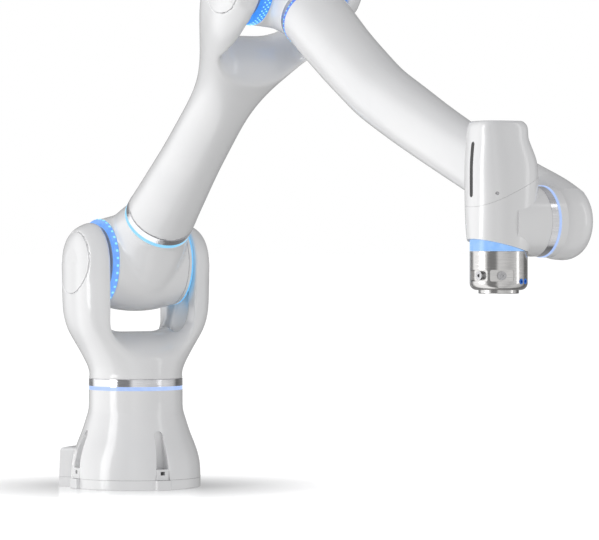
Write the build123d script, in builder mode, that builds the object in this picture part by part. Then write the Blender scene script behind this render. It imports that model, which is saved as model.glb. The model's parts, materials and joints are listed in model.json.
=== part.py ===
from build123d import *
import os
from math import copysign, cos, pi, radians, sin

# A seven axis collaborative robot arm in its rest pose, in millimetres.
# World frame: origin at the centre of the base's underside, +Z up, connector box towards -X.

# ---------------------------------------------------------------- pose and link lengths
arm_heading = -43.1          # J1: the arm's plane, turned from +X about +Z, degrees
upper_arm_tilt = 50.3        # J2: upper arm from the vertical
forearm_tilt = 122.8         # J4: forearm root axis from the vertical
shoulder_height = 428.7      # J2 axis above the floor
upper_arm_length = 778.0     # J2 axis to J4 axis
forearm_reach = 905.6        # J4 axis to J6 axis, along the J5 axis
forearm_rise = 77.9          # J6 axis above the J5 axis
flange_offset = 62.9         # J7 axis beside the arm's plane

# ---------------------------------------------------------------- shared sizes
wall = 5.0                   # shell wall
joint_gap = 0.4              # open seam between two turning links
shaft_clearance = 0.05       # radial running clearance of a hub in its bearing
cable_bore = 10.0            # radius of the cable way through every hub and drive
outline_points = 24          # points on a smooth closed section
dome_step = 0.5              # how far a dome stands inside the section that it closes
dome_flat = 0.55             # how far in an ear's dome is cut flat at its middle

# base
base_radius = 123.5
plate_height = 18.6
pedestal_bottom = 19.0
column_radius = 89.4
pedestal_top = 186.0
light_height = 7.0
trim_height = 13.6
foot_circle = 108.0          # radius of the circle of mounting holes
foot_hole = 5.5              # M10 clearance
lug_width = 31.0
lug_reach = 131.0
box_reach = 138.0
box_half_width = 50.0
box_height = 75.0

# yoke and shoulder
yoke_bottom = pedestal_top + light_height + joint_gap + trim_height
yoke_half_width = 136.5
yoke_ear_radius = 82.0
ear_power = 4.2              # squareness of both forks at their ears
yoke_slot = 88.0             # half width between the ears
yoke_crest = 297.0           # top of the saddle under the drum
yoke_lip = 240.0             # the saddle's low front and rear edges
drum_half_width = 82.0
drum_rim_radius = 81.6
drum_belly_radius = 93.5
j3_seam = 129.4
j3_radius = 65.6

# upper arm and elbow
fork_half_width = 133.0
fork_ear_radius = 82.0
fork_slot = 86.0
fork_crest = 612.0
fork_lip = 512.0
elbow_half_width = 80.0
elbow_rim_radius = 77.4
elbow_belly_radius = 82.0
j5_seam = 113.0
j5_radius = 59.0

# forearm, wrist and flange
bulge_middle = 51.0          # middle of the end bulge beside the arm's plane
bulge_half_width = 39.0
bulge_radius = 61.0
j6_plane = 13.4
j6_radius = 55.5
wrist_start = 1.0
wrist_top = 155.5
flange_radius = 45.0
flange_top = -46.5
flange_bottom = -106.6
hub_radius = 31.5
hub_bottom = -112.1
tool_circle = 25.0           # ISO 9409-1-50-4-M6: radius of the bolt circle
tool_hole = 2.5              # M6 tapping hole
centring_bore = 15.75

# the ears of both forks
cap_radius = 58.0            # radius of the cavity in an ear and of its cover
cap_depth = 16.0             # thickness of the cover
ear_wall = 5.0               # inner wall of an ear
ear_shaft = 38.0             # radius of the drum's shafts

# bores that the drives and bearings sit in, and the shafts that turn in them
ring_bore = 78.0
j1_bore = 70.0
j1_shaft = 45.0
j2_bore = 69.5
j3_shaft = 32.0
j4_bore = 66.0
j5_shaft = 28.0
j6_bore = 46.0
j6_shaft = 30.0
j7_bore = 39.8
j7_shaft = 26.0

# ---------------------------------------------------------------- the frames of the links
base_frame = Plane.XY
yoke_frame = Plane(Location((0, 0, 0), (0, 0, arm_heading)))
shoulder_frame = Plane(yoke_frame.location * Location((0, 0, shoulder_height), (0, upper_arm_tilt, 0)))
elbow_bend = forearm_tilt - upper_arm_tilt
elbow_frame = Plane(shoulder_frame.location * Location((0, 0, upper_arm_length), (0, elbow_bend, 0)))
wrist_frame = Plane(elbow_frame.location
                    * Location((-forearm_rise, 0, forearm_reach), (0, -forearm_tilt, 0)))


def outline(half_x, half_y, power, middle=(0, 0)):
    """Add a closed smooth face: power 2 is an ellipse, and more makes it squarer."""
    points = []
    for step in range(outline_points):
        angle = 2 * pi * step / outline_points
        points.append((middle[0] + half_x * copysign(abs(cos(angle)) ** (2 / power), cos(angle)),
                       middle[1] + half_y * copysign(abs(sin(angle)) ** (2 / power), sin(angle))))
    with BuildLine() as edge:
        Spline(*points, periodic=True)
    make_face(edge.edges())


def shared_slope(first, second):
    """The slope where two runs meet: their harmonic mean, or level where they turn back."""
    return 2 * first * second / (first + second) if first * second > 0 else 0


def eased(table, place):
    """Read a table of rows at a place between its first column's values, with no overshoot."""
    low = max(row for row in range(len(table) - 1) if table[row][0] <= place + 1e-6)
    span = table[low + 1][0] - table[low][0]
    share = (place - table[low][0]) / span
    values = []
    for column in range(1, len(table[0])):
        slopes = []
        for row in (low - 1, low, low + 1):
            if 0 <= row < len(table) - 1:
                rise = table[row + 1][column] - table[row][column]
                slopes.append(rise / (table[row + 1][0] - table[row][0]))
            else:
                slopes.append(0)
        before = shared_slope(slopes[0], slopes[1])
        after = shared_slope(slopes[1], slopes[2])
        cube, square = share ** 3, share ** 2
        values.append((2 * cube - 3 * square + 1) * table[low][column]
                      + (cube - 2 * square + share) * span * before
                      + (3 * square - 2 * cube) * table[low + 1][column]
                      + (cube - square) * span * after)
    return values


def even_loft(table, count, mode=Mode.ADD):
    """Loft through evenly spaced sections read from rows of height, X, Y, half X, half Y and power."""
    sections = []
    for step in range(count + 1):
        height = table[0][0] + (table[-1][0] - table[0][0]) * step / count
        middle_x, middle_y, half_x, half_y, power = eased(table, height)
        with BuildSketch(Plane.XY.offset(height)) as section:
            outline(half_x, half_y, power, (middle_x, middle_y))
        sections.append(section.sketch)
    loft(sections, mode=mode)


def disc(radius, low, high, mode=Mode.ADD):
    """A round plate about the local Z axis, from one height to another."""
    with BuildSketch(Plane.XY.offset(low)) as plan:
        Circle(radius)
    extrude(plan.sketch, amount=high - low, mode=mode)


def cross_disc(radius, low, high, mode=Mode.ADD, height=0.0):
    """A round plate about an axis along Y at a height, from one side to another."""
    with BuildSketch(Plane(origin=(0, low, height), z_dir=(0, 1, 0))) as plan:
        Circle(radius)
    extrude(plan.sketch, amount=high - low, mode=mode)


def ring(outer, inner, low, high, chamfer_size=0.0):
    """A ring about the local Z axis, with its two outer edges chamfered."""
    with BuildPart() as band:
        disc(outer, low, high)
        if chamfer_size:
            chamfer(band.edges().filter_by(GeomType.CIRCLE), chamfer_size)
        disc(inner, low - 1, high + 1, Mode.SUBTRACT)
    return band


def drive_unit(radius, length):
    """A joint motor with its strain wave gear and brake: a stepped can, face at Z 0, body below."""
    with BuildPart() as unit:
        disc(radius, -0.18 * length, 0)
        disc(0.9 * radius, -0.62 * length, -0.18 * length)
        disc(0.78 * radius, -0.9 * length, -0.62 * length)
        disc(0.5 * radius, -length, -0.9 * length)
        chamfer(unit.edges().filter_by(GeomType.CIRCLE).sort_by(Axis.Z)[0], 1.5)
        with Locations((0, 0, -0.18 * length)):
            with PolarLocations(0.94 * radius, 8):
                Hole(0.025 * radius)
        disc(cable_bore, -length - 1, 1, Mode.SUBTRACT)
    return unit


def output_hub(rim_radius, shaft_radius, shaft_length, flange_thickness=8.0):
    """The turning side of a joint: a shaft below Z 0 and a bolted flange above it."""
    with BuildPart() as hub:
        disc(shaft_radius, -shaft_length, 0)
        chamfer(hub.edges().filter_by(GeomType.CIRCLE).sort_by(Axis.Z)[0], 1.0)
        disc(rim_radius, 0, flange_thickness)
        with Locations((0, 0, flange_thickness)):
            with PolarLocations(0.5 * (rim_radius + shaft_radius), 8):
                Hole(0.12 * (rim_radius - shaft_radius))
        disc(cable_bore, -shaft_length - 1, flange_thickness + 1, Mode.SUBTRACT)
    return hub


def slot_outline(half_width, floor, top, corner):
    """Add the cross section of the room between two ears, with a rounded floor."""
    with BuildLine() as edge:
        Line((half_width, top), (-half_width, top))
        Line((-half_width, top), (-half_width, floor + corner))
        Line((-half_width + corner, floor), (half_width - corner, floor))
        Line((half_width, floor + corner), (half_width, top))
        CenterArc((-half_width + corner, floor + corner), corner, 180, 90)
        CenterArc((half_width - corner, floor + corner), corner, 270, 90)
    make_face(edge.edges())


def saddle_slot(half_width, lip, crest, top, reach, corner):
    """The room between two ears as a solid: straight sides over a saddle with its crest at X 0."""
    with BuildPart() as slot:
        for place, floor in ((-reach, lip), (0, crest), (reach, lip)):
            with BuildSketch(Plane.YZ.offset(place)):
                slot_outline(half_width, floor, top, corner)
        loft()
    return slot.part


def ear_cap(form, half_width, height, side):
    """The round outer cover of an ear, cut from the fork's outer form."""
    with BuildPart() as cap:
        add(form)
        cross_disc(cap_radius - 0.2, side * (half_width - cap_depth), side * (half_width + 2),
                   Mode.INTERSECT, height)
    return cap


def ear_drive(inner, side):
    """The flat joint drive inside one ear, with the bearing bore that takes the drum's hub."""
    with BuildPart() as unit:
        cross_disc(cap_radius, side * inner, side * (inner + 16))
        cross_disc(0.86 * cap_radius, side * (inner + 16), side * (inner + 25))
        cross_disc(ear_shaft + shaft_clearance, side * (inner - 1), side * (inner + 14), Mode.SUBTRACT)
        cross_disc(cable_bore, side * (inner - 1), side * (inner + 30), Mode.SUBTRACT)
    return unit


def ear_bearing(inner, side):
    """The support bearing in the other ear."""
    with BuildPart() as race:
        cross_disc(cap_radius, side * inner, side * (inner + 14))
        cross_disc(ear_shaft + shaft_clearance, side * (inner - 1), side * (inner + 15), Mode.SUBTRACT)
    return race


def drum_hubs(rim_radius, drum_face, shaft_end):
    """The two end plates of a drum with the shafts that run in the ears."""
    with BuildPart() as hubs:
        for side in (-1, 1):
            cross_disc(rim_radius, side * (drum_face - 8), side * drum_face)
            cross_disc(ear_shaft, side * drum_face, side * shaft_end)
            cross_disc(cable_bore, side * (drum_face - 9), side * (shaft_end + 1), Mode.SUBTRACT)
    return hubs


def drum_light_ring(outer, inner, drum_face, width, side):
    """The light ring on one end of a drum."""
    with BuildPart() as band:
        cross_disc(outer, side * (drum_face - width), side * drum_face)
        cross_disc(inner, side * (drum_face - width - 1), side * (drum_face + 1), Mode.SUBTRACT)
    return band


# ================================================================ base
foot_angles = (45, 135, 225, 315)

with BuildPart() as base_plate:
    disc(base_radius, 0, plate_height)
    for angle in foot_angles:
        lug_plane = Plane(Location((0, 0, 0), (0, 0, angle)))
        with BuildSketch(lug_plane):
            with Locations((lug_reach / 2 + 30, 0)):
                RectangleRounded(lug_reach - 60, lug_width, 3)
        extrude(amount=plate_height)
    with BuildSketch():
        with Locations((-(box_reach + base_radius) / 2 + 20, 0)):
            Rectangle(box_reach - base_radius + 40, 2 * box_half_width)
    extrude(amount=plate_height)
    fillet(base_plate.faces().sort_by(Axis.Z)[0].outer_wire().edges(), 2.0)
    with PolarLocations(foot_circle, len(foot_angles), start_angle=foot_angles[0]):
        Hole(foot_hole)
    disc(40, -1, plate_height + 1, Mode.SUBTRACT)
base_plate.part.label = "base_plate"

with BuildPart() as pedestal_shell:
    with BuildSketch(Plane.XZ):
        with BuildLine() as profile:
            flare = Spline((base_radius, pedestal_bottom), (120.6, 56), (112.6, 82), (102.8, 107),
                           (93.4, 136), (column_radius, 165), tangents=[(0, 1), (0, 1)])
            Line(flare @ 1, (column_radius, pedestal_top))
            Line((column_radius, pedestal_top), (46, pedestal_top))
            Line((46, pedestal_top), (46, pedestal_top - 8))
            Line((46, pedestal_top - 8), (column_radius - 6, pedestal_top - 8))
            Line((column_radius - 6, pedestal_top - 8), (column_radius - 6, 112))
            Line((column_radius - 6, 112), (base_radius - 34, pedestal_bottom))
            Line((base_radius - 34, pedestal_bottom), flare @ 0)
        make_face()
    revolve(axis=Axis.Z)
    for angle in foot_angles:
        pocket_plane = Plane(origin=(98 * cos(radians(angle)), 98 * sin(radians(angle)), 0),
                             x_dir=(-sin(radians(angle)), cos(radians(angle)), 0),
                             z_dir=(cos(radians(angle)), sin(radians(angle)), 0))
        with BuildSketch(pocket_plane):
            with BuildLine():
                tip = ThreePointArc((-9, 96), (0, 110), (9, 96))
                Line((9, 96), (14.5, pedestal_bottom - 1))
                Line((14.5, pedestal_bottom - 1), (-14.5, pedestal_bottom - 1))
                Line((-14.5, pedestal_bottom - 1), (-9, 96))
            make_face()
        extrude(amount=40, mode=Mode.SUBTRACT)
    with BuildSketch(Plane.XY.offset(pedestal_bottom)):
        with Locations((-115, 0)):
            Rectangle(60, 2 * box_half_width + 0.6)
    extrude(amount=box_height - pedestal_bottom + 0.3, mode=Mode.SUBTRACT)
pedestal_shell.part.label = "pedestal_shell"

with BuildPart() as foot_covers:
    for angle in foot_angles:
        cover_plane = Plane(Location((0, 0, pedestal_bottom), (0, 0, angle)))
        with BuildSketch(cover_plane):
            with Locations((111, 0)):
                RectangleRounded(25, 26, 2)
        extrude(amount=20)
        window_plane = Plane(Location((0, 0, pedestal_bottom + 9), (0, 0, angle)))
        with BuildSketch(window_plane):
            with Locations((120, 0)):
                Rectangle(14, 9)
        extrude(amount=7, mode=Mode.SUBTRACT)
        with BuildSketch(cover_plane):
            with Locations((foot_circle, 0)):
                Circle(foot_hole + 3.5)
        extrude(amount=16, mode=Mode.SUBTRACT)
foot_covers.part.label = "foot_covers"

with BuildPart() as connector_box:
    with BuildSketch(Plane.XY.offset(pedestal_bottom)):
        with Locations((-(box_reach + 86) / 2, 0)):
            Rectangle(box_reach - 86, 2 * box_half_width)
    extrude(amount=box_height - pedestal_bottom, taper=2)
    fillet(connector_box.edges().group_by(Axis.Z)[-1], 6)
    with BuildSketch(Plane.XY.offset(pedestal_bottom)):
        with Locations((-(box_reach + 86) / 2 + 4, 0)):
            Rectangle(box_reach - 86 - 18, 2 * box_half_width - 14)
    extrude(amount=box_height - pedestal_bottom - wall - 2, mode=Mode.SUBTRACT)
    with BuildSketch(Plane(origin=(-box_reach - 5, 0, 46), x_dir=(0, -1, 0), z_dir=(-1, 0, 0))):
        RectangleRounded(80, 38, 3)
    extrude(amount=-22, mode=Mode.SUBTRACT)
connector_box.part.label = "connector_box"

panel_face = Plane(origin=(-box_reach + 7.0, 0, 46), x_dir=(0, -1, 0), z_dir=(-1, 0, 0))
with BuildPart() as connector_panel:
    with BuildSketch(panel_face):
        RectangleRounded(79.6, 37.6, 3)
        with Locations((-24, 0)):
            RectangleRounded(24, 19, 2, mode=Mode.SUBTRACT)
        with Locations((4, 0), (28, 0)):
            Circle(8, mode=Mode.SUBTRACT)
    extrude(amount=-3)
connector_panel.part.label = "connector_panel"

with BuildPart() as connector_sockets:
    with BuildSketch(panel_face):
        with Locations((-24, 0)):
            RectangleRounded(24, 19, 2)
            RectangleRounded(20, 15, 2, mode=Mode.SUBTRACT)
        with Locations((4, 0), (28, 0)):
            Circle(8)
            Circle(6, mode=Mode.SUBTRACT)
    extrude(amount=-8)
    with BuildSketch(panel_face.offset(-8)):
        with Locations((-24, 0)):
            RectangleRounded(24, 19, 2)
        with Locations((4, 0), (28, 0)):
            Circle(8)
    extrude(amount=-2)
connector_sockets.part.label = "connector_sockets"

base_light_ring = ring(column_radius - 0.2, ring_bore, pedestal_top, pedestal_top + light_height)
base_light_ring.part.label = "base_light_ring"

j1_seam = pedestal_top + light_height + joint_gap
j1_bearing = ring(j1_bore, j1_shaft + shaft_clearance, pedestal_top - 28, pedestal_top - 8, 1.0)
j1_bearing.part.label = "j1_bearing"

j1_drive = drive_unit(j1_bore, 118)
j1_drive.part.label = "j1_drive"

# ================================================================ yoke, turned by J1
j1_trim_ring = ring(column_radius, ring_bore, j1_seam, yoke_bottom)
j1_trim_ring.part.label = "j1_trim_ring"

j1_hub = output_hub(ring_bore - 2, j1_shaft, 34, 10)
j1_hub.part.label = "j1_hub"

yoke_sections = (
    (yoke_bottom, 0, 0, 89.4, 89.4, 2.0),
    (224, 0, 0, 89.3, 90.0, 2.0),
    (245, 0, 0, 88.5, 99.5, 2.1),
    (261, 0, 0, 87.5, 108.0, 2.3),
    (279, 0, 0, 86.0, 118.0, 2.6),
    (301, 0, 0, 84.0, 128.0, 3.2),
    (335, 0, 0, 82.6, 135.0, 4.0),
    (375, 0, 0, yoke_ear_radius, yoke_half_width, ear_power),
    (shoulder_height, 0, 0, yoke_ear_radius, yoke_half_width, ear_power),
)

with BuildPart() as yoke_form:
    even_loft(yoke_sections, 12)
    with BuildSketch(Plane.XY.offset(shoulder_height)):
        outline(yoke_ear_radius - dome_step, yoke_half_width - dome_step, ear_power)
        with Locations((yoke_ear_radius, 0)):
            Rectangle(2 * yoke_ear_radius, 2 * (yoke_half_width - dome_flat), mode=Mode.INTERSECT)
    revolve(axis=Axis((0, 0, shoulder_height), (0, 1, 0)), revolution_arc=-180)

with BuildPart() as yoke_shell:
    add(yoke_form.part)
    add(saddle_slot(yoke_slot, yoke_lip, yoke_crest, 530, 96, 52), mode=Mode.SUBTRACT)
    disc(ring_bore - 2, yoke_bottom, yoke_bottom + 24, Mode.SUBTRACT)
    for side in (-1, 1):
        with BuildSketch(Plane.XY.offset(yoke_bottom + 24)):
            with Locations((0, side * 62)):
                Rectangle(70, 20)
        with BuildSketch(Plane.XY.offset(shoulder_height)):
            with Locations((0, side * 111)):
                Rectangle(90, 30)
        loft(mode=Mode.SUBTRACT)
    for side in (-1, 1):
        cross_disc(cap_radius, side * (yoke_slot + ear_wall), side * 150, Mode.SUBTRACT, shoulder_height)
        cross_disc(ear_shaft + 1.5, side * (yoke_slot - 2), side * 100, Mode.SUBTRACT, shoulder_height)
yoke_shell.part.label = "yoke_shell"

yoke_cap_left = ear_cap(yoke_form.part, yoke_half_width, shoulder_height, -1)
yoke_cap_left.part.label = "yoke_cap_left"
yoke_cap_right = ear_cap(yoke_form.part, yoke_half_width, shoulder_height, 1)
yoke_cap_right.part.label = "yoke_cap_right"
# the ears' drive and bearing are built about the J2 axis
j2_drive = ear_drive(yoke_slot + ear_wall, -1)
j2_drive.part.label = "j2_drive"
j2_bearing = ear_bearing(yoke_slot + ear_wall, 1)
j2_bearing.part.label = "j2_bearing"

# ================================================================ shoulder, turned by J2
j2_hubs = drum_hubs(j2_bore, drum_half_width, yoke_slot + ear_wall + 13)
j2_hubs.part.label = "j2_hubs"

shoulder_lights = []
for side, name in ((-1, "shoulder_light_left"), (1, "shoulder_light_right")):
    band = drum_light_ring(drum_rim_radius, j2_bore, drum_half_width, 8, side)
    band.part.label = name
    shoulder_lights.append(band)

neck_bore = j3_radius - 13.0
with BuildPart() as shoulder_shell:
    with BuildSketch(Plane.XY):
        with BuildLine():
            Line((0, -drum_half_width + 8), (drum_rim_radius, -drum_half_width + 8))
            ThreePointArc((drum_rim_radius, -drum_half_width + 8), (drum_belly_radius, 0),
                          (drum_rim_radius, drum_half_width - 8))
            Line((drum_rim_radius, drum_half_width - 8), (0, drum_half_width - 8))
            Line((0, drum_half_width - 8), (0, -drum_half_width + 8))
        make_face()
    revolve(axis=Axis.Y)
    even_loft(((20, 0, 0, 92, 73.5, 2), (70, 0, 0, 82, 73, 2), (100, 0, 0, 70, 68.5, 2),
               (j3_seam - 7.4, 0, 0, j3_radius, j3_radius, 2)), 5)
    cross_disc(drum_rim_radius - wall, -drum_half_width + 4, drum_half_width - 4, Mode.SUBTRACT)
    disc(neck_bore, 0, j3_seam - 14.4, Mode.SUBTRACT)
    disc(34, 100, j3_seam, Mode.SUBTRACT)
shoulder_shell.part.label = "shoulder_shell"

j3_light_ring = ring(j3_radius, j3_radius - 11, j3_seam - 7.4, j3_seam - 0.4)
j3_light_ring.part.label = "j3_light_ring"
j3_bearing = ring(neck_bore, j3_shaft + shaft_clearance, j3_seam - 34.4, j3_seam - 14.4)
j3_bearing.part.label = "j3_bearing"
j3_drive = drive_unit(neck_bore, 110)
j3_drive.part = Pos(0, 0, j3_seam - 34.4) * j3_drive.part
j3_drive.part.label = "j3_drive"

# ================================================================ upper arm, turned by J3
j3_trim_ring = ring(j3_radius, j3_radius - 11, j3_seam, j3_seam + 12.6)
j3_trim_ring.part.label = "j3_trim_ring"
j3_hub = output_hub(j3_radius - 11, j3_shaft, 34)
j3_hub.part = Pos(0, 0, j3_seam) * j3_hub.part
j3_hub.part.label = "j3_hub"

upper_arm_sections = (
    (j3_seam + 12.6, 0, 0, 64.6, 64.6, 2.0),
    (210, 0, 0, 61.5, 61.5, 2.0),
    (320, 0, 0, 56.5, 56.5, 2.0),
    (430, 0, 0, 54.0, 56.0, 2.0),
    (500, 0, 0, 55.0, 64.0, 2.1),
    (550, 0, 0, 58.0, 78.0, 2.3),
    (600, 0, 0, 64.0, 96.0, 2.6),
    (650, 0, 0, 71.0, 114.0, 3.1),
    (700, 0, 0, 77.5, 127.0, 3.7),
    (upper_arm_length, 0, 0, fork_ear_radius, fork_half_width, ear_power),
)

with BuildPart() as upper_arm_form:
    even_loft(upper_arm_sections, 16)
    with BuildSketch(Plane.XY.offset(upper_arm_length)):
        outline(fork_ear_radius - dome_step, fork_half_width - dome_step, ear_power)
        with Locations((fork_ear_radius, 0)):
            Rectangle(2 * fork_ear_radius, 2 * (fork_half_width - dome_flat), mode=Mode.INTERSECT)
    revolve(axis=Axis((0, 0, upper_arm_length), (0, 1, 0)), revolution_arc=-180)

with BuildPart() as upper_arm_shell:
    add(upper_arm_form.part)
    add(saddle_slot(fork_slot, fork_lip, fork_crest, 900, 96, 52), mode=Mode.SUBTRACT)
    with BuildSketch(Plane.XY.offset(j3_seam + 10)):
        Circle(j3_radius - 8)
    with BuildSketch(Plane.XY.offset(300)):
        Circle(50)
    with BuildSketch(Plane.XY.offset(485)):
        Circle(47)
    loft(mode=Mode.SUBTRACT)
    for side in (-1, 1):
        with BuildSketch(Plane.XY.offset(480)):
            with Locations((0, side * 32)):
                Rectangle(44, 26)
        with BuildSketch(Plane.XY.offset(640)):
            with Locations((0, side * 98)):
                Rectangle(50, 14)
        with BuildSketch(Plane.XY.offset(upper_arm_length)):
            with Locations((0, side * 106)):
                Rectangle(60, 22)
        loft(ruled=True, mode=Mode.SUBTRACT)
        cross_disc(cap_radius, side * (fork_slot + ear_wall), side * 150, Mode.SUBTRACT, upper_arm_length)
        cross_disc(ear_shaft + 1.5, side * (fork_slot - 2), side * 100, Mode.SUBTRACT, upper_arm_length)
upper_arm_shell.part.label = "upper_arm_shell"

elbow_cap_left = ear_cap(upper_arm_form.part, fork_half_width, upper_arm_length, -1)
elbow_cap_left.part.label = "elbow_cap_left"
elbow_cap_right = ear_cap(upper_arm_form.part, fork_half_width, upper_arm_length, 1)
elbow_cap_right.part.label = "elbow_cap_right"
# the ears' drive and bearing are built about the J4 axis
j4_drive = ear_drive(fork_slot + ear_wall, -1)
j4_drive.part.label = "j4_drive"
j4_bearing = ear_bearing(fork_slot + ear_wall, 1)
j4_bearing.part.label = "j4_bearing"

# ================================================================ elbow, turned by J4
j4_hubs = drum_hubs(j4_bore, elbow_half_width, fork_slot + ear_wall + 13)
j4_hubs.part.label = "j4_hubs"

elbow_lights = []
for side, name in ((-1, "elbow_light_left"), (1, "elbow_light_right")):
    band = drum_light_ring(elbow_rim_radius, j4_bore, elbow_half_width, 16, side)
    band.part.label = name
    elbow_lights.append(band)

elbow_bore = j5_radius - 12.0
with BuildPart() as elbow_shell:
    with BuildSketch(Plane.XY):
        with BuildLine():
            Line((0, -elbow_half_width + 16), (elbow_rim_radius, -elbow_half_width + 16))
            ThreePointArc((elbow_rim_radius, -elbow_half_width + 16), (elbow_belly_radius, 0),
                          (elbow_rim_radius, elbow_half_width - 16))
            Line((elbow_rim_radius, elbow_half_width - 16), (0, elbow_half_width - 16))
            Line((0, elbow_half_width - 16), (0, -elbow_half_width + 16))
        make_face()
    revolve(axis=Axis.Y)
    even_loft(((15, 0, 0, 80, 63.8, 2), (60, 0, 0, 71, 63.5, 2), (90, 0, 0, 62, 61, 2),
               (j5_seam - 0.4, 0, 0, j5_radius, j5_radius, 2)), 5)
    cross_disc(elbow_rim_radius - wall, -elbow_half_width + 10, elbow_half_width - 10, Mode.SUBTRACT)
    disc(elbow_bore, 0, j5_seam - 7, Mode.SUBTRACT)
    disc(30, 90, j5_seam, Mode.SUBTRACT)
elbow_shell.part.label = "elbow_shell"

j5_bearing = ring(elbow_bore, j5_shaft + shaft_clearance, j5_seam - 25, j5_seam - 7)
j5_bearing.part.label = "j5_bearing"
j5_drive = drive_unit(elbow_bore, 100)
j5_drive.part = Pos(0, 0, j5_seam - 25) * j5_drive.part
j5_drive.part.label = "j5_drive"

# ================================================================ forearm, turned by J5
forearm_start = j5_seam + 14.0
j5_trim_ring = ring(j5_radius, j5_radius - 10, j5_seam, forearm_start - 6)
j5_trim_ring.part.label = "j5_trim_ring"
j5_light_ring = ring(j5_radius + 0.3, j5_radius - 10, forearm_start - 6, forearm_start)
j5_light_ring.part.label = "j5_light_ring"
j5_hub = output_hub(j5_radius - 10, j5_shaft, 24)
j5_hub.part = Pos(0, 0, j5_seam) * j5_hub.part
j5_hub.part.label = "j5_hub"


def along_bulge(radius, low, high, mode=Mode.ADD):
    """A round plate about the J6 axis, in the forearm's frame."""
    with BuildSketch(Plane(origin=(-forearm_rise, low, forearm_reach), z_dir=(0, 1, 0))) as plan:
        Circle(radius)
    extrude(plan.sketch, amount=high - low, mode=mode)


def bulge_dome(turn):
    """The rounded end of the forearm, turned about the J6 axis."""
    with BuildSketch(Plane.XY.offset(forearm_reach)) as half_dome:
        outline(bulge_radius - dome_step, bulge_half_width - dome_step, 2.8, (-forearm_rise, bulge_middle))
        with Locations((-forearm_rise - bulge_radius, bulge_middle)):
            Rectangle(2 * bulge_radius, 2 * bulge_half_width + 2, mode=Mode.SUBTRACT)
    revolve(half_dome.sketch, axis=Axis((-forearm_rise, 0, forearm_reach), (0, 1, 0)), revolution_arc=turn)


forearm_sections = (
    (forearm_start, 0, 0, 59, 59, 2.0),
    (250, 2, 1, 55, 55, 2.1),
    (356, 1, 5, 53, 52, 2.2),
    (470, -12, 12, 52, 49, 2.3),
    (560, -24, 21, 51, 45, 2.3),
    (655, -39, 31, 50, 42, 2.4),
    (760, -57, 43, 51, 38, 2.5),
    (845, -71, 50, 56, 38, 2.7),
    (forearm_reach, -forearm_rise, bulge_middle, bulge_radius, bulge_half_width, 2.8),
)

with BuildPart() as forearm_shell:
    even_loft(forearm_sections, 20)
    bulge_dome(-180)
    along_bulge(56.5, 17.4, 45)
    even_loft(((forearm_start - 1, 0, 0, 50, 50, 2), (250, 2, 1, 47, 47, 2), (470, -12, 12, 42, 42, 2),
               (655, -39, 31, 34, 34, 2), (800, -64, 46, 29, 29, 2)), 10, Mode.SUBTRACT)
    along_bulge(j6_bore, 24, 100, Mode.SUBTRACT)
    along_bulge(32, 0, 30, Mode.SUBTRACT)
    along_bulge(70, j6_plane - 20, 17.4, Mode.SUBTRACT)
forearm_shell.part.label = "forearm_shell"

with BuildPart() as forearm_cap:
    bulge_dome(360)
    along_bulge(45.8, 74, 95, Mode.INTERSECT)
forearm_cap.part.label = "forearm_cap"

# pieces about the J6 axis, built in the wrist's frame
with BuildPart() as j6_light_ring:
    cross_disc(j6_radius + 1, j6_plane + joint_gap, 17.4)
    cross_disc(j6_bore, 10, 20, Mode.SUBTRACT)
j6_light_ring.part.label = "j6_light_ring"
with BuildPart() as j6_bearing:
    cross_disc(j6_bore, 24, 38)
    cross_disc(j6_shaft + shaft_clearance, 20, 40, Mode.SUBTRACT)
j6_bearing.part.label = "j6_bearing"
with BuildPart() as j6_drive:
    cross_disc(j6_bore, 38, 52)
    cross_disc(40, 52, 70)
    cross_disc(cable_bore, 30, 80, Mode.SUBTRACT)
j6_drive.part.label = "j6_drive"

# ================================================================ wrist, turned by J6
with BuildPart() as j6_trim_ring:
    cross_disc(j6_radius, wrist_start, j6_plane)
    cross_disc(j6_bore, 0, 20, Mode.SUBTRACT)
j6_trim_ring.part.label = "j6_trim_ring"
with BuildPart() as j6_hub:
    cross_disc(j6_bore, wrist_start, wrist_start + 8)
    cross_disc(j6_shaft, wrist_start + 8, 37)
    cross_disc(cable_bore, 0, 40, Mode.SUBTRACT)
j6_hub.part.label = "j6_hub"

seam_slope = 25.0
seam_height = 75.0 - 0.47 * flange_offset    # the seam rises towards J6
wrist_seam = Plane(Location((0, -flange_offset, seam_height), (seam_slope, 0, 0)))
wrist_foot = Plane(Location((0, -flange_offset, -39.8), (-14.6, 0, 0)))
light_top = -46.1


def housing_form():
    """The wrist housing's outer form: a leaning column with a round neck towards J6."""
    even_loft(((light_top, 0, -62.9, 48, 48, 2.0), (-15, 0, -61, 50.5, 51.5, 2.2), (25, 0, -58, 52, 55, 2.4),
               (77, 0, -58, 50, 55, 2.6), (110, 0, -62, 46, 49, 2.8), (140, 0, -66, 40, 42, 3.0),
               (wrist_top, 0, -67, 35, 36.5, 3.0)), 9)


with BuildPart() as housing:
    housing_form()
    fillet(housing.faces().sort_by(Axis.Z)[-1].edges(), 7)
    cross_disc(j6_radius - 0.5, -60, wrist_start)
    split(bisect_by=wrist_foot, keep=Keep.TOP)

with BuildPart() as wrist_cavity:
    for height, middle, half in ((-60, -62.9, 41), (0, -61, 43), (77, -59, 43), (120, -64, 36),
                                 (wrist_top - 8, -67, 28)):
        with BuildSketch(Plane.XY.offset(height)):
            outline(half, half, 2.2, (0, middle))
    loft()
    cross_disc(j6_bore, -50, wrist_start - 6)

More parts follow.
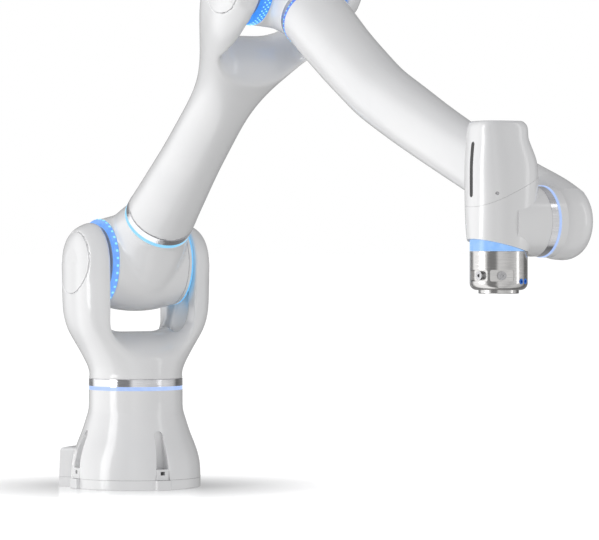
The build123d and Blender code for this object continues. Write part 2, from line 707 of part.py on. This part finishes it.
with BuildPart() as wrist_shell:
    add(housing.part)
    split(bisect_by=wrist_seam, keep=Keep.BOTTOM)
    add(wrist_cavity.part, mode=Mode.SUBTRACT)
    cross_disc(32, -10, 10, Mode.SUBTRACT)
    with BuildSketch(Plane.XY.offset(-60)):
        with Locations((0, -flange_offset)):
            Circle(flange_radius + 0.4)
    extrude(amount=60 + light_top + 20, mode=Mode.SUBTRACT)
wrist_shell.part.label = "wrist_shell"

strip_length = 86.0
strip_width = 9.0
strip_plane = Plane(origin=(0, -60, 80), x_dir=(0, 0, 1), z_dir=(0, -1, 0))
screw_place = Location((43.5, -93, 43), (0, 90, -35))
with BuildPart() as wrist_cover:
    add(housing.part)
    split(bisect_by=wrist_seam.offset(0.3), keep=Keep.TOP)
    add(wrist_cavity.part, mode=Mode.SUBTRACT)
    with BuildSketch(strip_plane):
        SlotOverall(strip_length + 0.2, strip_width + 0.2)
    extrude(amount=80, mode=Mode.SUBTRACT)
    with Locations(screw_place):
        Cylinder(2.7, 30, mode=Mode.SUBTRACT)
wrist_cover.part.label = "wrist_cover"

with BuildPart() as control_strip:
    with BuildSketch(strip_plane):
        SlotOverall(strip_length, strip_width)
    extrude(amount=80)
    add(housing.part, mode=Mode.INTERSECT)
    add(wrist_cavity.part, mode=Mode.SUBTRACT)
control_strip.part.label = "control_strip"

with BuildPart() as cover_screw:
    with Locations(screw_place):
        Cylinder(2.6, 30)
    add(housing.part, mode=Mode.INTERSECT)
    add(wrist_cavity.part, mode=Mode.SUBTRACT)
cover_screw.part.label = "cover_screw"

j7_axis = Pos(0, -flange_offset, 0)
with BuildPart() as j7_light_ring:
    with BuildSketch(Plane.XY.offset(light_top)):
        with Locations((0, -flange_offset)):
            Circle(flange_radius)
    extrude(amount=24)
    split(bisect_by=wrist_foot.offset(-0.2), keep=Keep.BOTTOM)
    with BuildSketch(Plane.XY.offset(light_top)):
        with Locations((0, -flange_offset)):
            Circle(flange_radius - 5)
    extrude(amount=30, mode=Mode.SUBTRACT)
j7_light_ring.part.label = "j7_light_ring"

j7_bearing = ring(j7_bore, j7_shaft + shaft_clearance, light_top, light_top + 22)
j7_bearing.part = j7_axis * j7_bearing.part
j7_bearing.part.label = "j7_bearing"
j7_drive = drive_unit(j7_bore, 90)
j7_drive.part = Pos(0, -flange_offset, light_top + 22) * Rot(180, 0, 0) * j7_drive.part
j7_drive.part.label = "j7_drive"

# ================================================================ flange, turned by J7
def side_plane(angle, height, reach):
    """A plane that faces outwards at an angle round the flange."""
    across = (-sin(radians(angle)), cos(radians(angle)), 0)
    outwards = (cos(radians(angle)), sin(radians(angle)), 0)
    return Plane(origin=(0, 0, height), x_dir=across, z_dir=outwards).offset(reach)


pocket_planes = [side_plane(angle, -84, 37.5) for angle in (-79, -25)]
socket_plane = side_plane(26, -93, 38)
socket_spots = ((-5.5, 0), (5.5, 0))


def tool_holes(low, high):
    """Cut the four threaded holes that a tool bolts to."""
    with BuildSketch(Plane.XY.offset(low)) as plan:
        with PolarLocations(tool_circle, 4, start_angle=45):
            Circle(tool_hole)
    extrude(plan.sketch, amount=high - low, mode=Mode.SUBTRACT)


with BuildPart() as flange_body:
    disc(flange_radius, flange_bottom, flange_top)
    fillet(flange_body.edges().filter_by(GeomType.CIRCLE).sort_by(Axis.Z)[0], 11)
    disc(j7_shaft, flange_top, flange_top + 20)
    disc(36, flange_bottom + 14, flange_top - 14, Mode.SUBTRACT)
    disc(cable_bore, flange_bottom - 1, flange_top + 30, Mode.SUBTRACT)
    tool_holes(flange_bottom - 1, flange_bottom + 10)
    for pocket_plane in pocket_planes:
        with BuildSketch(pocket_plane):
            RectangleRounded(37, 18, 3)
        extrude(amount=20, mode=Mode.SUBTRACT)
    with BuildSketch(socket_plane):
        with Locations(*socket_spots):
            Circle(4.5)
    extrude(amount=20, mode=Mode.SUBTRACT)
flange_body.part = j7_axis * flange_body.part
flange_body.part.label = "flange_body"

with BuildPart() as tool_hub:
    disc(hub_radius, hub_bottom, flange_bottom)
    chamfer(tool_hub.edges().filter_by(GeomType.CIRCLE).sort_by(Axis.Z)[0], 0.8)
    disc(centring_bore, hub_bottom - 1, hub_bottom + 5, Mode.SUBTRACT)
    disc(cable_bore, hub_bottom - 1, flange_bottom + 1, Mode.SUBTRACT)
    tool_holes(hub_bottom - 1, flange_bottom + 1)
tool_hub.part = j7_axis * tool_hub.part
tool_hub.part.label = "tool_hub"

with BuildPart() as pocket_screws:
    for pocket_plane in pocket_planes:
        with BuildSketch(pocket_plane):
            Circle(7)
        extrude(amount=5)
        with BuildSketch(pocket_plane.offset(5)):
            RegularPolygon(3, 6)
        extrude(amount=-2.5, mode=Mode.SUBTRACT)
pocket_screws.part = j7_axis * pocket_screws.part
pocket_screws.part.label = "pocket_screws"

with BuildPart() as tool_sockets:
    with BuildSketch(socket_plane):
        with Locations(*socket_spots):
            Circle(4.4)
            Circle(2.4, mode=Mode.SUBTRACT)
    extrude(amount=7)
    with BuildSketch(socket_plane):
        with Locations(*socket_spots):
            Circle(4.4)
    extrude(amount=2)
tool_sockets.part = j7_axis * tool_sockets.part
tool_sockets.part.label = "tool_sockets"

j2_frame = Plane(yoke_frame.location * Location((0, 0, shoulder_height)))
j4_frame = Plane(shoulder_frame.location * Location((0, 0, upper_arm_length)))
j1_frame = Plane(yoke_frame.location * Location((0, 0, pedestal_top - 28)))
j1_hub_frame = Plane(yoke_frame.location * Location((0, 0, yoke_bottom - 8)))

links = (
    (base_frame, (base_plate, pedestal_shell, foot_covers, connector_box, connector_panel, connector_sockets,
                  base_light_ring, j1_bearing)),
    (j1_frame, (j1_drive,)),
    (j1_hub_frame, (j1_hub,)),
    (yoke_frame, (j1_trim_ring, yoke_shell, yoke_cap_left, yoke_cap_right)),
    (j2_frame, (j2_drive, j2_bearing)),
    (shoulder_frame, (j2_hubs, *shoulder_lights, shoulder_shell, j3_light_ring, j3_bearing, j3_drive,
                      j3_trim_ring, j3_hub, upper_arm_shell, elbow_cap_left, elbow_cap_right)),
    (j4_frame, (j4_drive, j4_bearing)),
    (elbow_frame, (j4_hubs, *elbow_lights, elbow_shell, j5_bearing, j5_drive, j5_trim_ring, j5_light_ring,
                   j5_hub, forearm_shell, forearm_cap)),
    (wrist_frame, (j6_light_ring, j6_bearing, j6_drive, j6_trim_ring, j6_hub, wrist_shell, wrist_cover,
                   control_strip, cover_screw, j7_light_ring, j7_bearing, j7_drive, flange_body, tool_hub,
                   pocket_screws, tool_sockets)),
)
for link_frame, pieces in links:
    for piece in pieces:
        placed = link_frame.location * piece.part
        export_step(placed, f"parts/{piece.part.label}.step")
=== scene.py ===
import json
import math

import bmesh
import bpy
import numpy as np
from mathutils import Matrix, Vector


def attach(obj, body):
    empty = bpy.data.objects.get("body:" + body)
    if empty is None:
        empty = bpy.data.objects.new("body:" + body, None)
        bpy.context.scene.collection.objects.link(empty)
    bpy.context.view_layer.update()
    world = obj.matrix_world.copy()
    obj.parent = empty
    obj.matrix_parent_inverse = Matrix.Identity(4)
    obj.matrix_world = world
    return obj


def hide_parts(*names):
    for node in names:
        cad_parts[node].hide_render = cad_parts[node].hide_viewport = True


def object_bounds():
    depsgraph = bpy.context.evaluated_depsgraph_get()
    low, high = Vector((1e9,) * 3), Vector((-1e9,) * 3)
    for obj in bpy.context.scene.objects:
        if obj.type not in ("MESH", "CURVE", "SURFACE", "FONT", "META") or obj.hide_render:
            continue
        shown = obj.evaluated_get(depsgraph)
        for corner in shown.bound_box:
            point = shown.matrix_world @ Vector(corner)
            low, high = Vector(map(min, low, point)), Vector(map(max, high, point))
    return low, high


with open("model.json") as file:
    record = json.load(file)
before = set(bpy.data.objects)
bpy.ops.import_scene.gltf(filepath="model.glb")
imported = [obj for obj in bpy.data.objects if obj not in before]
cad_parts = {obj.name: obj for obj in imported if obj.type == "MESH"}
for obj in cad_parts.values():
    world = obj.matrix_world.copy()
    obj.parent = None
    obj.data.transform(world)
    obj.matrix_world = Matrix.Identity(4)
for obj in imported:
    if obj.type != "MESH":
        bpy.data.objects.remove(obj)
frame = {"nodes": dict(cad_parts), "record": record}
cad_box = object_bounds()

nodes = frame["nodes"]
joints = {j["name"]: j for j in frame["record"]["behaviour"]["joints"]}


# ---------------------------------------------------------------- node helpers
def new_material(name):
    """A node material, with its node tree and its shader."""
    material = bpy.data.materials.new(name)
    material.use_nodes = True
    tree = material.node_tree
    shader = next(n for n in tree.nodes if n.type == "BSDF_PRINCIPLED")
    return material, tree, shader


def add_node(tree, kind, inputs=(), **settings):
    """A node with its settings, its inputs being sockets to link or plain values."""
    node = tree.nodes.new(kind)
    for key, value in settings.items():
        setattr(node, key, value)
    for key, value in dict(inputs).items():
        if isinstance(value, bpy.types.NodeSocket):
            tree.links.new(value, node.inputs[key])
        else:
            node.inputs[key].default_value = value
    return node


def noise(tree, scale, detail=2.0, stretch=(1, 1, 1)):
    """Noise over the piece's own coordinates, stretched per axis."""
    place = add_node(tree, "ShaderNodeTexCoord")
    mapped = add_node(tree, "ShaderNodeMapping", {"Vector": place.outputs["Object"], "Scale": stretch})
    return add_node(tree, "ShaderNodeTexNoise",
                    {"Vector": mapped.outputs["Vector"], "Scale": scale, "Detail": detail}).outputs["Fac"]


def spread(tree, value, low, high):
    """A noise value read onto a range."""
    ranged = add_node(tree, "ShaderNodeMapRange",
                      {"Value": value, "From Min": 0.3, "From Max": 0.7, "To Min": low, "To Max": high})
    return ranged.outputs["Result"]


def two_colours(tree, value, first, second, low=0.35, high=0.65):
    """A value from 0 to 1 read onto a change between two colours."""
    ramp = add_node(tree, "ShaderNodeValToRGB", {"Fac": value})
    ramp.color_ramp.elements[0].position, ramp.color_ramp.elements[0].color = low, (*first, 1)
    ramp.color_ramp.elements[1].position, ramp.color_ramp.elements[1].color = high, (*second, 1)
    return ramp.outputs["Color"]


def bump(tree, shader, height, strength, distance):
    """Relief on a shader; distance is in metres."""
    lift = add_node(tree, "ShaderNodeBump", {"Height": height, "Strength": strength, "Distance": distance})
    tree.links.new(lift.outputs["Normal"], shader.inputs["Normal"])


# ---------------------------------------------------------------- materials
WHITE_TONE, WHITE_DRIFT = (0.84, 0.84, 0.8442), (0.81, 0.812, 0.82)
UNLIT_GUIDE = (0.02, 0.03, 0.05)         # a light guide's own colour
UNLIT_BAND = (0.84, 0.84, 0.85)


def white_shell_material():
    """Glossy white lacquer over a moulded shell: faint orange peel and drifting tone."""
    material, tree, shader = new_material("white_lacquer")
    tone = two_colours(tree, noise(tree, 7.0, 3.0), WHITE_TONE, WHITE_DRIFT)
    tree.links.new(tone, shader.inputs["Base Color"])
    tree.links.new(spread(tree, noise(tree, 30.0), 0.16, 0.24), shader.inputs["Roughness"])
    shader.inputs["Coat Weight"].default_value = 0.5
    shader.inputs["Coat Roughness"].default_value = 0.06
    bump(tree, shader, noise(tree, 260.0, 1.0), 0.05, 0.0004)
    return material


def brushed_metal(name, colour, dark, roughness, stretch, scale=40.0):
    """Metal with fine brush lines along one way and slow blotches."""
    material, tree, shader = new_material(name)
    lines = noise(tree, scale, 4.0, stretch)
    tree.links.new(two_colours(tree, lines, dark, colour), shader.inputs["Base Color"])
    tree.links.new(spread(tree, lines, roughness - 0.06, roughness + 0.08), shader.inputs["Roughness"])
    shader.inputs["Metallic"].default_value = 1.0
    bump(tree, shader, lines, 0.12, 0.0002)
    return material


def glow(name, colour, dim, strength, scale=90.0):
    """A light guide: milky plastic lit from inside, a little uneven."""
    material, tree, shader = new_material(name)
    patches = noise(tree, scale, 2.0)
    tree.links.new(two_colours(tree, patches, dim, colour), shader.inputs["Emission Color"])
    shader.inputs["Base Color"].default_value = (*UNLIT_GUIDE, 1)
    shader.inputs["Emission Strength"].default_value = strength
    shader.inputs["Roughness"].default_value = 0.25
    return material


def edge_glow(name, colour, dim, strength, origin, axis, start):
    """A white band that is lit only beyond start along an axis."""
    material, tree, shader = new_material(name)
    place = add_node(tree, "ShaderNodeTexCoord")
    offset = add_node(tree, "ShaderNodeVectorMath", {0: place.outputs["Object"], 1: origin},
                      operation="SUBTRACT")
    along = add_node(tree, "ShaderNodeVectorMath", {0: offset.outputs["Vector"], 1: axis},
                     operation="DOT_PRODUCT")
    lit = add_node(tree, "ShaderNodeMath", {0: along.outputs["Value"], 1: start}, operation="GREATER_THAN")
    level = add_node(tree, "ShaderNodeMath", {0: lit.outputs[0], 1: strength}, operation="MULTIPLY")
    tree.links.new(two_colours(tree, noise(tree, 90.0), dim, colour), shader.inputs["Emission Color"])
    tree.links.new(level.outputs[0], shader.inputs["Emission Strength"])
    tree.links.new(two_colours(tree, lit.outputs[0], UNLIT_BAND, UNLIT_GUIDE), shader.inputs["Base Color"])
    shader.inputs["Roughness"].default_value = 0.2
    return material


def dark_plastic(name, colour, roughness, grain=400.0, depth=0.0003):
    """Moulded plastic with a fine speckle and a matching relief."""
    material, tree, shader = new_material(name)
    speckle = noise(tree, grain, 2.0)
    lighter = tuple(min(1.0, c * 1.35 + 0.004) for c in colour)
    tree.links.new(two_colours(tree, speckle, colour, lighter), shader.inputs["Base Color"])
    tree.links.new(spread(tree, speckle, roughness - 0.05, roughness + 0.05), shader.inputs["Roughness"])
    bump(tree, shader, speckle, 0.2, depth)
    return material


WHITE = white_shell_material()
RING_METAL = brushed_metal("brushed_trim", (0.80, 0.80, 0.82), (0.70, 0.70, 0.72), 0.13, (1, 1, 14))
FLANGE_METAL = brushed_metal("machined_flange", (0.66, 0.65, 0.64), (0.56, 0.555, 0.55), 0.17,
                             (1, 1, 18), 60.0)
SCREW = brushed_metal("screw_steel", (0.55, 0.55, 0.56), (0.36, 0.36, 0.37), 0.28, (6, 6, 6), 150.0)
BEARING = brushed_metal("bearing_steel", (0.62, 0.62, 0.63), (0.45, 0.45, 0.46), 0.2, (3, 3, 12))
DRIVE = dark_plastic("anodised_drive", (0.05, 0.052, 0.058), 0.4, 300.0)
BLACK_GLOSS = dark_plastic("black_gloss", (0.006, 0.006, 0.007), 0.1, 120.0, 0.0001)
SOCKET_BLUE = dark_plastic("socket_blue", (0.02, 0.16, 0.62), 0.3)
PANEL = dark_plastic("panel_plastic", (0.02, 0.02, 0.022), 0.45)
J2_PLACE, J2_AXIS = joints["shoulder_tilt"]["pos_m"], joints["shoulder_tilt"]["axis"]
SEAM_GLOW = glow("seam_light", (0.48, 0.63, 1.0), (0.42, 0.58, 0.99), 0.95)
THIN_GLOW = glow("neck_light", (0.31, 0.72, 1.0), (0.26, 0.66, 1.0), 0.98)
WEDGE_GLOW = glow("wedge_light", (0.33, 0.58, 1.0), (0.27, 0.52, 0.98), 0.95)
SEAT_GLOW = glow("roll_light", (0.16, 0.30, 0.95), (0.12, 0.24, 0.90), 0.9)
BAND_GLOW = glow("shoulder_band", (0.20, 0.44, 1.0), (0.15, 0.38, 0.98), 0.95)
DEEP_GLOW = glow("elbow_band", (0.07, 0.34, 1.0), (0.05, 0.28, 0.97), 0.95)
DOT_GLOW = glow("led_dots", (0.34, 0.90, 1.0), (0.26, 0.82, 1.0), 1.0)
LINE_START = 0.0788                      # how far out along J2 the right band is lit
LINE_GLOW = edge_glow("shoulder_line", (0.20, 0.60, 1.0), (0.16, 0.54, 0.98), 0.95,
                      J2_PLACE, J2_AXIS, LINE_START)

BY_NODE = {
    WHITE: ("base_plate", "pedestal_shell", "foot_covers", "connector_box", "yoke_shell", "yoke_cap_left",
            "yoke_cap_right", "shoulder_shell", "upper_arm_shell", "elbow_cap_left", "elbow_cap_right",
            "elbow_shell", "forearm_shell", "forearm_cap", "wrist_shell", "wrist_cover",
            "j2_drive", "j2_bearing", "j2_hubs", "j4_drive", "j4_bearing", "j4_hubs"),
    RING_METAL: ("j1_trim_ring", "j3_trim_ring", "j5_trim_ring", "j6_trim_ring"),
    FLANGE_METAL: ("flange_body", "tool_hub"),
    SCREW: ("pocket_screws", "cover_screw", "connector_sockets"),
    BEARING: ("j1_bearing", "j3_bearing", "j5_bearing", "j6_bearing", "j7_bearing", "j1_hub", "j3_hub",
              "j5_hub", "j6_hub"),
    DRIVE: ("j1_drive", "j3_drive", "j5_drive", "j6_drive", "j7_drive"),
    BLACK_GLOSS: ("control_strip",),
    SOCKET_BLUE: ("tool_sockets",),
    PANEL: ("connector_panel",),
    SEAM_GLOW: ("base_light_ring", "j6_light_ring"),
    THIN_GLOW: ("j3_light_ring",),
    SEAT_GLOW: ("j5_light_ring",),
    WEDGE_GLOW: ("j7_light_ring",),
    BAND_GLOW: ("shoulder_light_left",),
    LINE_GLOW: ("shoulder_light_right",),
    DEEP_GLOW: ("elbow_light_left", "elbow_light_right"),
}
for material, names in BY_NODE.items():
    for name in names:
        nodes[name].data.materials.clear()
        nodes[name].data.materials.append(material)

# ---------------------------------------------------------------- softened shells
VOXEL_FULL = 0.0028
VOXEL = VOXEL_FULL


def joint_frame(name):
    """Where a joint turns: its point and its axis, in metres."""
    return Vector(joints[name]["pos_m"]), Vector(joints[name]["axis"]).normalized()


def vertex_weights(piece, name, weights):
    """A vertex group with a weight for every point."""
    group = piece.vertex_groups.new(name=name)
    for index, weight in enumerate(weights):
        group.add([index], float(weight), "REPLACE")


def skin(name, source, body, rounding, softness):
    """A smooth shell over a CAD node: rounded where softness(points) is near 1, true to it where near 0."""
    form = bmesh.new()
    form.from_mesh(nodes[source].data)
    bmesh.ops.remove_doubles(form, verts=form.verts, dist=1e-6)
    mesh = bpy.data.meshes.new(name)
    form.to_mesh(mesh)
    form.free()
    shell = bpy.data.objects.new(name, mesh)
    bpy.context.scene.collection.objects.link(shell)
    remesh = shell.modifiers.new("remesh", "REMESH")
    remesh.mode, remesh.voxel_size, remesh.use_smooth_shade = "VOXEL", VOXEL, True
    bake(shell)
    points = np.array([v.co for v in shell.data.vertices])
    weights = np.clip(softness(points), 0.0, 1.0)
    vertex_weights(shell, "soft", weights)
    vertex_weights(shell, "sharp", 1 - weights)
    even = shell.modifiers.new("even", "SMOOTH")
    even.factor, even.iterations = 0.5, 4
    soft = shell.modifiers.new("soft", "SMOOTH")
    soft.factor, soft.iterations, soft.vertex_group = 0.5, int(rounding * (VOXEL_FULL / VOXEL) ** 2), "soft"
    onto = shell.modifiers.new("onto", "SHRINKWRAP")
    onto.target, onto.wrap_method, onto.vertex_group = nodes[source], "NEAREST_SURFACEPOINT", "sharp"
    bake(shell)
    shell.data.materials.clear()
    shell.data.materials.append(WHITE)
    for polygon in shell.data.polygons:
        polygon.use_smooth = True
        polygon.material_index = 0
    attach(shell, body)
    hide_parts(source)


def bake(piece):
    """Apply a piece's modifiers."""
    graph = bpy.context.evaluated_depsgraph_get()
    made = bpy.data.meshes.new_from_object(piece.evaluated_get(graph), preserve_all_data_layers=True,
                                           depsgraph=graph)
    piece.modifiers.clear()
    piece.data = made


def beyond(points, origin, axis, start, full):
    """0 before start along an axis, rising to 1 at full."""
    along = (points - np.array(origin)) @ np.array(axis)
    return np.clip((along - start) / (full - start), 0.0, 1.0)


def around(points, origin, axis, start, full):
    """0 inside start from an axis, rising to 1 at full."""
    offset = points - np.array(origin)
    sideways = offset - np.outer(offset @ np.array(axis), np.array(axis))
    return np.clip((np.linalg.norm(sideways, axis=1) - start) / (full - start), 0.0, 1.0)


def inside(points, origin, axis, full, start):
    """1 within full of a point along an axis, both ways, falling to 0 at start."""
    return (1 - beyond(points, origin, axis, full, start)) * (1 - beyond(points, origin, -axis, full, start))


CAP_SEAM = (0.062, 0.070)                # clear of the seam round an ear's cover, which stays sharp
CAP_DEPTH, CAP_FADE = 0.100, 0.008       # how far out along the axis the cover begins


def off_cap(points, origin, axis):
    """0 near the seam round an ear's cover, 1 elsewhere."""
    outwards = np.abs((points - np.array(origin)) @ np.array(axis))
    depth = np.clip((outwards - CAP_DEPTH) / CAP_FADE, 0.0, 1.0)
    return np.maximum(around(points, origin, axis, *CAP_SEAM), 1 - depth)


j2, j2_axis = joint_frame("shoulder_tilt")
j3, j3_axis = joint_frame("upper_arm_roll")
j4, j4_axis = joint_frame("elbow_bend")
j5, j5_axis = joint_frame("forearm_roll")
UP = Vector((0, 0, 1))
YOKE_FOOT = (0, 0, 0.207)

skin("yoke_skin", "yoke_shell", "yoke", 60,
     lambda p: beyond(p, YOKE_FOOT, UP, 0.004, 0.03) * off_cap(p, j2, j2_axis))
skin("upper_arm_skin", "upper_arm_shell", "upper_arm", 60,
     lambda p: beyond(p, j3, j3_axis, 0.018, 0.04) * off_cap(p, j4, j4_axis))
skin("shoulder_skin", "shoulder_shell", "shoulder", 50,
     lambda p: (1 - beyond(p, j3, j3_axis, -0.028, -0.012)) * inside(p, j2, j2_axis, 0.06, 0.070))
skin("elbow_skin", "elbow_shell", "elbow", 40,
     lambda p: (1 - beyond(p, j5, j5_axis, -0.02, -0.006)) * inside(p, j4, j4_axis, 0.05, 0.060))


# ---------------------------------------------------------------- small lights
def squarish(value):
    """A circle's coordinate pushed out towards a rounded square's."""
    return math.copysign(abs(value) ** 0.6, value)


def studs(name, body, places, radius, height, sides=14):
    """Small domed lenses with squarish outlines, each at a place with its outward way and its axis."""
    form = bmesh.new()
    for centre, outward, axis in places:
        turn_to = Matrix((axis, outward.cross(axis), outward)).transposed()
        rings = []
        for share, lift in ((1.0, -0.4), (1.0, 0.35), (0.8, 0.8), (0.45, 0.97)):
            rings.append([form.verts.new(centre + turn_to @ Vector(
                (radius * share * squarish(math.cos(2 * math.pi * (k + 0.5) / sides)),
                 radius * share * squarish(math.sin(2 * math.pi * (k + 0.5) / sides)), height * lift)))
                for k in range(sides)])
        tip = form.verts.new(centre + turn_to @ Vector((0, 0, height)))
        for low, high in zip(rings, rings[1:]):
            for k in range(sides):
                form.faces.new((low[k], low[(k + 1) % sides], high[(k + 1) % sides], high[k]))
        for k in range(sides):
            form.faces.new((rings[-1][k], rings[-1][(k + 1) % sides], tip))
    bmesh.ops.recalc_face_normals(form, faces=form.faces)
    mesh = bpy.data.meshes.new(name)
    form.to_mesh(mesh)
    form.free()
    for polygon in mesh.polygons:
        polygon.use_smooth = True
    mesh.materials.append(DOT_GLOW)
    piece = bpy.data.objects.new(name, mesh)
    bpy.context.scene.collection.objects.link(piece)
    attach(piece, body)


def ring_places(origin, axis, along, radius, count, start=0.0):
    """Places evenly round an axis, facing outwards; start turns them by a share of one step."""
    side = axis.orthogonal().normalized()
    other = axis.cross(side)
    places = []
    for k in range(count):
        angle = 2 * math.pi * (k + start) / count
        outward = side * math.cos(angle) + other * math.sin(angle)
        places.append((origin + axis * along + outward * radius, outward, axis))
    return places


SHOULDER_RIM, SHOULDER_ROW = 0.0816, 0.0775       # radius of the drum's ring, and its row's place along J2
ELBOW_RIM, ELBOW_FACE = 0.0774, 0.080
ELBOW_ROWS = (0.0035, 0.0085, 0.0125)             # each row's place back from the drum's face
SEAM_RIM, SEAM_ROW = 0.0593, 0.0112

studs("shoulder_dots", "shoulder", ring_places(j2, -j2_axis, SHOULDER_ROW, SHOULDER_RIM, 36), 0.0023, 0.0014)
for side, name in ((-1, "left"), (1, "right")):
    rows = []
    for row, back in enumerate(ELBOW_ROWS):
        rows += ring_places(j4, j4_axis, side * (ELBOW_FACE - back), ELBOW_RIM, 52, 0.5 * (row % 2))
    studs("elbow_dots_" + name, "elbow", rows, 0.0015, 0.0010, 8)
studs("forearm_seam_dots", "forearm", ring_places(j5, j5_axis, SEAM_ROW, SEAM_RIM, 44), 0.0012, 0.0008, 8)

# ---------------------------------------------------------------- floor, light and camera
FLOOR_SIZE = 400.0
floor_mesh = bpy.data.meshes.new("floor")
floor_form = bmesh.new()
bmesh.ops.create_grid(floor_form, x_segments=8, y_segments=8, size=FLOOR_SIZE)
floor_form.to_mesh(floor_mesh)
floor_form.free()
floor = bpy.data.objects.new("floor", floor_mesh)
bpy.context.scene.collection.objects.link(floor)
floor_material, floor_tree, floor_shader = new_material("studio_floor")
floor_tone = two_colours(floor_tree, noise(floor_tree, 0.6), (0.93, 0.93, 0.93), (0.95, 0.95, 0.95))
floor_tree.links.new(floor_tone, floor_shader.inputs["Base Color"])
place = add_node(floor_tree, "ShaderNodeTexCoord")
far = add_node(floor_tree, "ShaderNodeVectorMath", {0: place.outputs["Object"]}, operation="LENGTH")
PAINTED_SHADE_NEAR, PAINTED_SHADE_FAR = 0.13, 0.40       # where the painted shade round the foot begins and has gone, from J1
# painted shade: the floor's glow is dimmed towards J1, standing in for the arm's contact shadow on the floor
painted_foot_shade = add_node(floor_tree, "ShaderNodeMapRange",
                 {"Value": far.outputs["Value"], "From Min": PAINTED_SHADE_NEAR, "From Max": PAINTED_SHADE_FAR,
                  "To Min": 0.10, "To Max": 0.64})
floor_tree.links.new(painted_foot_shade.outputs["Result"], floor_shader.inputs["Emission Strength"])
floor_shader.inputs["Emission Color"].default_value = (1, 1, 1, 1)
floor_shader.inputs["Roughness"].default_value = 0.16
floor_shader.inputs["Specular IOR Level"].default_value = 0.06
floor_mesh.materials.append(floor_material)
floor.visible_diffuse = floor.visible_glossy = False      # the arm gets the studio's light, not the floor's

VIEW_AZIMUTH = math.radians(18.0)
TO_CAMERA = Vector((math.sin(VIEW_AZIMUTH), -math.cos(VIEW_AZIMUTH), 0.0))
TO_RIGHT = Vector((math.cos(VIEW_AZIMUTH), math.sin(VIEW_AZIMUTH), 0.0))


def area_light(name, place, target, width, height, power):
    """A white rectangle of light, in metres and watts, that faces a target."""
    data = bpy.data.lights.new(name, "AREA")
    data.shape, data.size, data.size_y = "RECTANGLE", width, height
    data.energy = power
    light = bpy.data.objects.new(name, data)
    light.location = place
    light.rotation_mode = "QUATERNION"
    light.rotation_quaternion = (Vector(target) - Vector(place)).to_track_quat("-Z", "Y")
    bpy.context.scene.collection.objects.link(light)


middle = (cad_box[0] + cad_box[1]) / 2
area_light("overhead", middle + Vector((0, 0, 3.2)), middle, 3.0, 3.0, 2)
area_light("left_key", middle - TO_RIGHT * 3.2 + TO_CAMERA * 1.6 + Vector((0, 0, 0.7)), middle, 1.2, 3.0, 46)
area_light("right_fill", middle + TO_RIGHT * 3.2 + TO_CAMERA * 1.2 + Vector((0, 0, 1.0)), middle, 0.6, 3.0, 8)

world = bpy.data.worlds.new("studio")
bpy.context.scene.world = world
world.use_nodes = True
sky = world.node_tree
sky.nodes.clear()
place = add_node(sky, "ShaderNodeTexCoord")
along_right = add_node(sky, "ShaderNodeVectorMath", {0: place.outputs["Generated"], 1: TO_RIGHT},
                       operation="DOT_PRODUCT")
along_camera = add_node(sky, "ShaderNodeVectorMath", {0: place.outputs["Generated"], 1: TO_CAMERA},
                        operation="DOT_PRODUCT")
heading = add_node(sky, "ShaderNodeMath", {0: along_right.outputs["Value"], 1: along_camera.outputs["Value"]},
                   operation="ARCTAN2")
turn = add_node(sky, "ShaderNodeMapRange",
                {"Value": heading.outputs[0], "From Min": -math.pi, "From Max": math.pi})
panels = add_node(sky, "ShaderNodeValToRGB", {"Fac": turn.outputs["Result"]})
# the studio's light and dark panels: share of the way round from behind the arm, and level
PANELS = ((0.0, 0.30), (0.13, 0.25), (0.17, 1.2), (0.33, 1.3), (0.37, 0.25), (0.46, 0.25),
          (0.49, 0.85), (0.62, 0.62), (0.72, 0.75), (0.80, 0.55), (0.84, 0.14), (1.0, 0.30))
stops = panels.color_ramp.elements
while len(stops) > 1:
    stops.remove(stops[0])
stops[0].position, stops[0].color = PANELS[0][0], (PANELS[0][1],) * 3 + (1,)
for position, level in PANELS[1:]:
    stop = stops.new(position)
    stop.color = (level, level, level, 1)
FROM_ABOVE = (0.42, 0.42, 0.43, 1)
height = add_node(sky, "ShaderNodeSeparateXYZ", {"Vector": place.outputs["Generated"]})
overhead = add_node(sky, "ShaderNodeMapRange",
                    {"Value": height.outputs["Z"], "From Min": 0.35, "From Max": 0.8,
                     "To Min": 0.0, "To Max": 1.0})
lit = add_node(sky, "ShaderNodeMix", {"Factor": overhead.outputs["Result"]}, data_type="RGBA")
for socket in lit.inputs:
    if socket.type == "RGBA" and socket.name == "A":
        sky.links.new(panels.outputs["Color"], socket)
    if socket.type == "RGBA" and socket.name == "B":
        socket.default_value = FROM_ABOVE
lit_background = add_node(sky, "ShaderNodeBackground", {"Strength": 1.12})
sky.links.new(next(s for s in lit.outputs if s.type == "RGBA"), lit_background.inputs["Color"])
seen_background = add_node(sky, "ShaderNodeBackground", {"Color": (1, 1, 1, 1), "Strength": 1.0})
ray = add_node(sky, "ShaderNodeLightPath")
chosen = add_node(sky, "ShaderNodeMixShader", {0: ray.outputs["Is Camera Ray"], 1: lit_background.outputs[0],
                                               2: seen_background.outputs[0]})
add_node(sky, "ShaderNodeOutputWorld", {"Surface": chosen.outputs[0]})
bpy.context.scene.view_settings.view_transform = "Standard"

CAMERA_DISTANCE = 6.693
CAMERA_HEIGHT = 0.4731
AIM_RIGHT = 0.3132           # how far right of J1 the picture's middle is
PITCH = math.radians(-0.507)
camera_data = bpy.data.cameras.new("camera")
camera_data.lens, camera_data.sensor_width = 210.35, 36.0
camera_data.clip_end = 100.0
camera = bpy.data.objects.new("camera", camera_data)
camera.location = TO_CAMERA * CAMERA_DISTANCE + TO_RIGHT * AIM_RIGHT + Vector((0, 0, CAMERA_HEIGHT))
camera.rotation_euler = (math.pi / 2 + PITCH, 0.0, VIEW_AZIMUTH)
bpy.context.scene.collection.objects.link(camera)
bpy.context.scene.camera = camera
